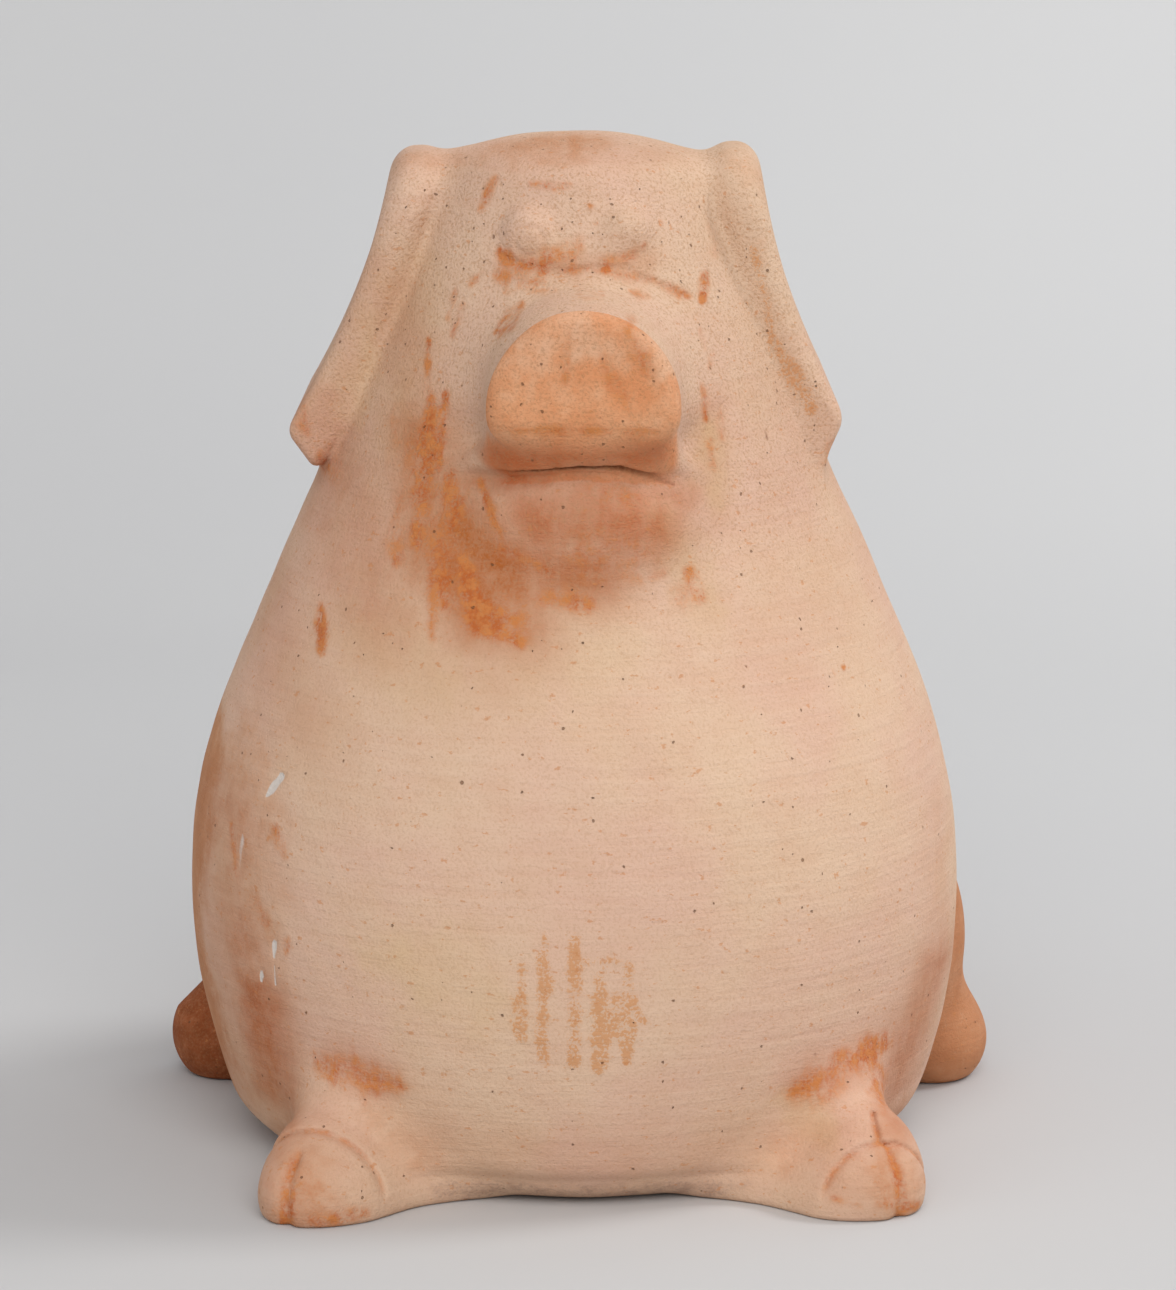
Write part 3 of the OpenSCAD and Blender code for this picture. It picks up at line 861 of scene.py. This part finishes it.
def finish_clay(piece):
    """Smooth normals taken from the modelled surface, so that luted joints don't show, and colours of worn
    clay and of painted shade.
    """
    mesh = piece.data
    count = len(mesh.vertices)
    p = np.empty(count * 3, np.float32)
    mesh.vertices.foreach_get("co", p)
    p = p.reshape(-1, 3) / MM
    corner = np.empty(len(mesh.loops), np.int32)
    mesh.loops.foreach_get("vertex_index", corner)
    faces = len(mesh.polygons)
    start, total = np.empty(faces, np.int32), np.empty(faces, np.int32)
    mesh.polygons.foreach_get("loop_start", start)
    mesh.polygons.foreach_get("loop_total", total)
    face_normal = np.empty(faces * 3, np.float32)
    mesh.polygons.foreach_get("normal", face_normal)
    face_normal = face_normal.reshape(-1, 3)

    corner_normal = np.repeat(face_normal, total, axis=0)
    flat = corner_normal.copy()
    for field, sign in ((skin, 1.0), (lambda q: revolved(q) + WALL, -1.0)):
        near = np.abs(field(p)) < ON_SKIN
        if field is not skin:
            near &= p[:, 2] > PLATE_TOP - 0.1
        slope = np.zeros_like(p)
        slope[near] = gradient(field, p[near], 0.2)
        slope *= sign / np.maximum(np.linalg.norm(slope, axis=1), 1e-6)[:, None]
        smooth_corner = near[corner] & ((slope[corner] * flat).sum(1) > 0.5)
        smooth_face = np.logical_and.reduceat(smooth_corner, start)
        chosen = np.repeat(smooth_face, total)
        corner_normal[chosen] = slope[corner][chosen]
    mesh.polygons.foreach_set("use_smooth", np.ones(faces, bool))
    mesh.normals_split_custom_set(corner_normal.tolist())

    masks = wear_and_shade(p)
    for label, kinds in WEAR_AND_SHADE.items():
        colour = mesh.color_attributes.new(name=label, type="FLOAT_COLOR", domain="POINT")
        channels = [masks[kind] for kind in kinds] + [np.ones(count)]
        values = np.clip(np.stack(channels, axis=1), 0.0, 1.0).astype(np.float32)
        colour.data.foreach_set("color", values.ravel())


# ---------------------------------------------------------------- camera
LOOK_AT = Vector((0.0, 0.0, 0.085))
CAMERA_DISTANCE = 0.9
CAMERA_ELEVATION = math.radians(11.0)
CAMERA_LENS = 147.5
CAMERA_SENSOR = 36.0
CAMERA_SHIFT = (0.0100775, -0.0116279)


def make_camera():
    data = bpy.data.cameras.new("camera")
    camera = bpy.data.objects.new("camera", data)
    bpy.context.scene.collection.objects.link(camera)
    back = Vector((0.0, -math.cos(CAMERA_ELEVATION), math.sin(CAMERA_ELEVATION)))
    camera.location = LOOK_AT + back * CAMERA_DISTANCE
    camera.rotation_euler = (-back).to_track_quat("-Z", "Y").to_euler()
    data.sensor_width = CAMERA_SENSOR
    data.lens = CAMERA_LENS
    data.shift_x, data.shift_y = CAMERA_SHIFT
    bpy.context.scene.camera = camera


make_camera()


# ---------------------------------------------------------------- materials
class Nodes:
    """Adds shader nodes and links them as they are named."""

    def __init__(self, name):
        self.material = bpy.data.materials.new(name)
        self.material.use_nodes = True
        self.tree = self.material.node_tree
        self.shader = self.tree.nodes["Principled BSDF"]
        self.place = self.add("ShaderNodeTexCoord").outputs["Object"]

    def add(self, kind, inputs=None, **settings):
        made = self.tree.nodes.new(kind)
        for key, value in settings.items():
            setattr(made, key, value)
        for key, value in (inputs or {}).items():
            self.feed(made.inputs[key], value)
        return made

    def feed(self, socket, value):
        if isinstance(value, bpy.types.NodeSocket):
            self.tree.links.new(value, socket)
        elif isinstance(value, tuple) and len(value) == 3 and socket.type == "RGBA":
            socket.default_value = (*value, 1.0)
        else:
            socket.default_value = value

    def math(self, operation, a, b):
        return self.add("ShaderNodeMath", {0: a, 1: b}, operation=operation).outputs[0]

    def times(self, a, b):
        return self.math("MULTIPLY", a, b)

    def stretch(self, scale):
        return self.add("ShaderNodeMapping", {"Vector": self.place, "Scale": scale}).outputs[0]

    def noise(self, scale, detail=2.0, where=None):
        made = self.add("ShaderNodeTexNoise", {
            "Vector": where or self.place, "Scale": scale, "Detail": detail, "Roughness": 0.6})
        return made.outputs["Fac"]

    def ramp(self, value, low, high, to_low=0.0, to_high=1.0):
        made = self.add("ShaderNodeMapRange", {
            0: value, 1: low, 2: high, 3: to_low, 4: to_high}, interpolation_type="SMOOTHSTEP")
        return made.outputs[0]

    def mix(self, factor, a, b, blend="MIX"):
        made = self.add("ShaderNodeMix", data_type="RGBA", blend_type=blend)
        for socket, value in ((made.inputs[0], factor), (made.inputs[6], a), (made.inputs[7], b)):
            self.feed(socket, value)
        return made.outputs[2]

    def worn(self, mask, noise, low=0.1, high=0.85, change=0.65, spread=0.2):
        """A soft mask made uneven and speckled by a noise."""
        varied = self.ramp(noise, 0.5 - spread, 0.5 + spread, 1.0 - change, 1.0 + change)
        uneven = self.times(mask, varied)
        return self.ramp(uneven, low, high)


# Linear colours. Where there are two, the clay drifts from one to the other
WASH = (0.72, 0.50, 0.345), (0.71, 0.455, 0.335)
WASH_DARK, WASH_PALE, WASH_YELLOW = (0.66, 0.40, 0.26), (0.78, 0.57, 0.42), (0.68, 0.475, 0.27)
PEACH = (0.76, 0.38, 0.20), (0.70, 0.28, 0.12)
RAW = (0.62, 0.31, 0.16), (0.56, 0.26, 0.125)
RUST = (0.50, 0.125, 0.028), (0.60, 0.215, 0.062)
# The dirt colour also serves as painted shade in the mouth's groove and on the right rear foot
RIM, SCUFF, DIRT_AND_SHADE = (0.42, 0.26, 0.19), (0.63, 0.30, 0.13), (0.17, 0.05, 0.015)
SPECK, PINHOLE, PIT = (0.58, 0.23, 0.08), (0.18, 0.08, 0.035), (0.44, 0.22, 0.10)
CHIP = (0.70, 0.62, 0.56)
# The tint colour is partly real tan staining and partly painted shade
UNTINTED, TINT_AND_SHADE = (1.0, 1.0, 1.0), (0.62, 0.26, 0.085)


def wear_and_shade_masks(n):
    """The painted masks of worn clay and of painted shade, in the order of the mask table."""
    masks = []
    for label in WEAR_AND_SHADE:
        painted = n.add("ShaderNodeAttribute", attribute_name=label, attribute_type="GEOMETRY")
        masks += n.add("ShaderNodeSeparateColor", {0: painted.outputs["Color"]}).outputs[:3]
    return masks


def pinholes(n, height):
    """Round holes of many sizes, more of them on the head."""
    jitter = n.add("ShaderNodeTexNoise", {"Vector": n.place, "Scale": 1400.0}).outputs["Color"]
    warped = n.add("ShaderNodeMixRGB", {0: 0.0006, 1: n.place, 2: jitter}, blend_type="ADD").outputs[0]
    cells = n.add("ShaderNodeTexVoronoi", {"Vector": warped, "Scale": 620.0, "Randomness": 1.0})
    lot = n.add("ShaderNodeSeparateColor", {0: cells.outputs["Color"]}).outputs[0]
    size = n.ramp(lot, n.ramp(height, 0.08, 0.15, 0.80, 0.42), 1.0, 0.0, 0.17)
    return n.ramp(n.math("SUBTRACT", size, cells.outputs["Distance"]), 0.0, 0.05)


def clay_material(name):
    """Fired clay under a worn wash, with shade painted into its colour in places. One recipe serves both
    slots: the masks say what is left of the wash and where shade is painted.
    """
    n = Nodes(name)
    bare, stain, yellow, dirt_and_shade, chip, flush, scuff, rim, tint_and_shade = wear_and_shade_masks(n)

    clouds = n.noise(28.0, 3.0)
    mottle = n.noise(130.0, 4.0)
    patches = n.noise(420.0, 4.0)
    grain = n.noise(2100.0, 3.0)
    wiped = n.noise(100.0, 4.0, n.stretch((0.3, 0.3, 7.0)))
    streaks = n.noise(420.0, 4.0, n.stretch((1.0, 1.0, 0.22)))
    rough_edge = n.mix(0.5, patches, grain)
    streaky = n.mix(0.5, n.mix(0.45, streaks, grain), n.mix(0.4, patches, mottle))

    wash = n.mix(n.ramp(clouds, 0.35, 0.65), *WASH)
    wash = n.mix(n.ramp(mottle, 0.35, 0.75, 0.0, 0.35), wash, WASH_DARK)
    wash = n.mix(n.ramp(wiped, 0.3, 0.7, 0.0, 0.25), wash, WASH_PALE)
    wash = n.mix(n.times(yellow, n.ramp(clouds, 0.2, 0.8, 0.4, 0.8)), wash, WASH_YELLOW)
    peach = n.mix(n.ramp(mottle, 0.3, 0.7), *PEACH)
    clay = n.mix(n.worn(flush, n.mix(0.5, mottle, clouds), 0.0, 0.95, 0.45), wash, peach)
    raw = n.mix(n.ramp(mottle, 0.3, 0.7), *RAW)
    clay = n.mix(n.worn(bare, rough_edge, 0.05, 0.95, 0.35), clay, raw)
    clay = n.mix(n.times(n.worn(rim, rough_edge, 0.2, 0.9), 0.8), clay, RIM)
    speckled = n.mix(0.7, patches, grain)
    scuffed = n.worn(scuff, speckled, 0.25, 0.85, 0.85, 0.13)
    clay = n.mix(n.times(scuffed, 0.85), clay, SCUFF)
    # Tint: partly real tan staining, partly painted shade under the snout and chin, down the flanks and on
    # the right rear foot
    shade = n.mix(n.times(tint_and_shade, n.ramp(streaky, 0.35, 0.65, 0.72, 1.08)), UNTINTED, TINT_AND_SHADE)
    clay = n.mix(1.0, clay, shade, "MULTIPLY")
    rust = n.mix(n.ramp(patches, 0.4, 0.6), *RUST)
    clay = n.mix(n.times(n.worn(stain, streaky, 0.02, 0.92, 0.75, 0.12), 0.95), clay, rust)
    # Dark dirt, and painted shade in the mouth's groove and on the right rear foot
    clay = n.mix(n.times(n.worn(dirt_and_shade, patches, 0.1, 0.9, 0.2), 0.9), clay, DIRT_AND_SHADE)
    # Specks of raw clay that show through everywhere, and dark pinholes
    specks = n.ramp(n.noise(620.0, 3.0, n.stretch((1.0, 1.0, 1.6))), 0.63, 0.70)
    clay = n.mix(n.times(specks, 0.55), clay, SPECK)
    height = n.add("ShaderNodeSeparateXYZ", {0: n.place}).outputs[2]
    hole = pinholes(n, height)
    clay = n.mix(n.times(hole, 0.7), clay, PINHOLE)
    coarse = n.ramp(height, 0.085, 0.125, 0.45, 1.0)
    clay = n.mix(n.times(n.ramp(grain, 0.3, 0.55, 0.5, 0.0), coarse), clay, PIT)
    clay = n.mix(n.ramp(chip, 0.35, 0.6), clay, CHIP)

    n.feed(n.shader.inputs["Base Color"], clay)
    n.feed(n.shader.inputs["Roughness"], n.ramp(mottle, 0.3, 0.7, 0.78, 0.92))
    n.shader.inputs["Specular IOR Level"].default_value = 0.25
    relief = n.times(n.times(grain, coarse), 0.6)
    for part, share in ((wiped, 0.35), (patches, 0.35), (hole, -0.9), (chip, -0.4)):
        relief = n.math("ADD", relief, n.times(part, share))
    bump = n.add("ShaderNodeBump", {"Height": relief, "Strength": 1.0, "Distance": 0.0006})
    n.feed(n.shader.inputs["Normal"], bump.outputs[0])
    return n.material


def rubber_material():
    n = Nodes("stopper_rubber")
    cloud = n.noise(160.0, 3.0)
    grain = n.noise(2600.0, 2.0)
    colour = n.mix(n.ramp(cloud, 0.3, 0.7), (0.018, 0.018, 0.019), (0.035, 0.034, 0.034))
    n.feed(n.shader.inputs["Base Color"], colour)
    n.feed(n.shader.inputs["Roughness"], n.ramp(cloud, 0.3, 0.7, 0.5, 0.68))
    bump = n.add("ShaderNodeBump", {"Height": grain, "Strength": 0.3, "Distance": 0.0002})
    n.feed(n.shader.inputs["Normal"], bump.outputs[0])
    return n.material


def backdrop_material():
    n = Nodes("backdrop_paper")
    colour = n.mix(n.ramp(n.noise(2.0, 2.0), 0.3, 0.7), (0.56, 0.56, 0.565), (0.585, 0.585, 0.585))
    n.feed(n.shader.inputs["Base Color"], colour)
    n.shader.inputs["Roughness"].default_value = 0.95
    n.shader.inputs["Specular IOR Level"].default_value = 0.1
    bump = n.add("ShaderNodeBump", {"Height": n.noise(900.0, 2.0), "Strength": 0.05, "Distance": 0.0002})
    n.feed(n.shader.inputs["Normal"], bump.outputs[0])
    return n.material


washed = clay_material("washed_clay")
bare_clay = clay_material("bare_clay")
BARE_NODES = ("shell_back", "base_plate", "rear_foot_left", "rear_foot_right", "tail")
for _name, _piece in PIECES.items():
    finish_clay(_piece)
    _piece.data.materials.clear()
    _piece.data.materials.append(bare_clay if _name in BARE_NODES else washed)
    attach(_piece, "pig")
    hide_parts(_name)

stopper.data.materials.append(rubber_material())
for _face in stopper.data.polygons:
    _face.use_smooth = True
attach(stopper, "stopper")
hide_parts("stopper")

# ---------------------------------------------------------------- floor, light
SWEEP_HALF, SWEEP_FRONT, SWEEP_BACK, SWEEP_TOP = 2200, -1800, 900, 1900
SWEEP_BEND = 500    # radius of the bend between floor and back
SWEEP_STEPS = 30


def make_sweep():
    """A paper sweep: floor, a wide bend and an upright back."""
    bend_c = (SWEEP_BACK - SWEEP_BEND, SWEEP_BEND)
    section = [(SWEEP_FRONT, 0.0)] + arc_points(bend_c, SWEEP_BEND, -math.pi / 2, 0.0, SWEEP_STEPS)
    section.append((SWEEP_BACK, SWEEP_TOP))
    points, faces = [], []
    for y, z in section:
        points += [(-SWEEP_HALF, y, z), (SWEEP_HALF, y, z)]
    for i in range(len(section) - 1):
        faces.append((2 * i, 2 * i + 1, 2 * i + 3, 2 * i + 2))
    sweep = mesh_object("paper_sweep", points, faces)
    for face in sweep.data.polygons:
        face.use_smooth = True
    sweep.data.materials.append(backdrop_material())


make_sweep()


def area_light(name, place, target, size, power):
    """A round soft box, white, with its power in watts."""
    data = bpy.data.lights.new(name, "AREA")
    data.shape = "DISK"
    data.size = size
    data.energy = power
    lamp = bpy.data.objects.new(name, data)
    bpy.context.scene.collection.objects.link(lamp)
    lamp.location = place
    lamp.rotation_euler = (Vector(target) - Vector(place)).to_track_quat("-Z", "Y").to_euler()


area_light("key", (0.10, -1.10, 0.92), (0.0, 0.0, 0.08), 1.2, 10.4)
area_light("fill", (-1.3, -0.7, 0.9), (-0.3, 0.0, 0.0), 1.0, 1.4)
area_light("backdrop", (1.1, 0.2, 1.2), (0.9, 0.9, 0.5), 0.7, 15.5)

WORLD_COLOUR, WORLD_STRENGTH = (0.99, 0.99, 1.0, 1.0), 0.48
world = bpy.data.worlds.new("studio")
bpy.context.scene.world = world
world.use_nodes = True
world.node_tree.nodes["Background"].inputs["Color"].default_value = WORLD_COLOUR
world.node_tree.nodes["Background"].inputs["Strength"].default_value = WORLD_STRENGTH
bpy.context.scene.view_settings.view_transform = "Standard"
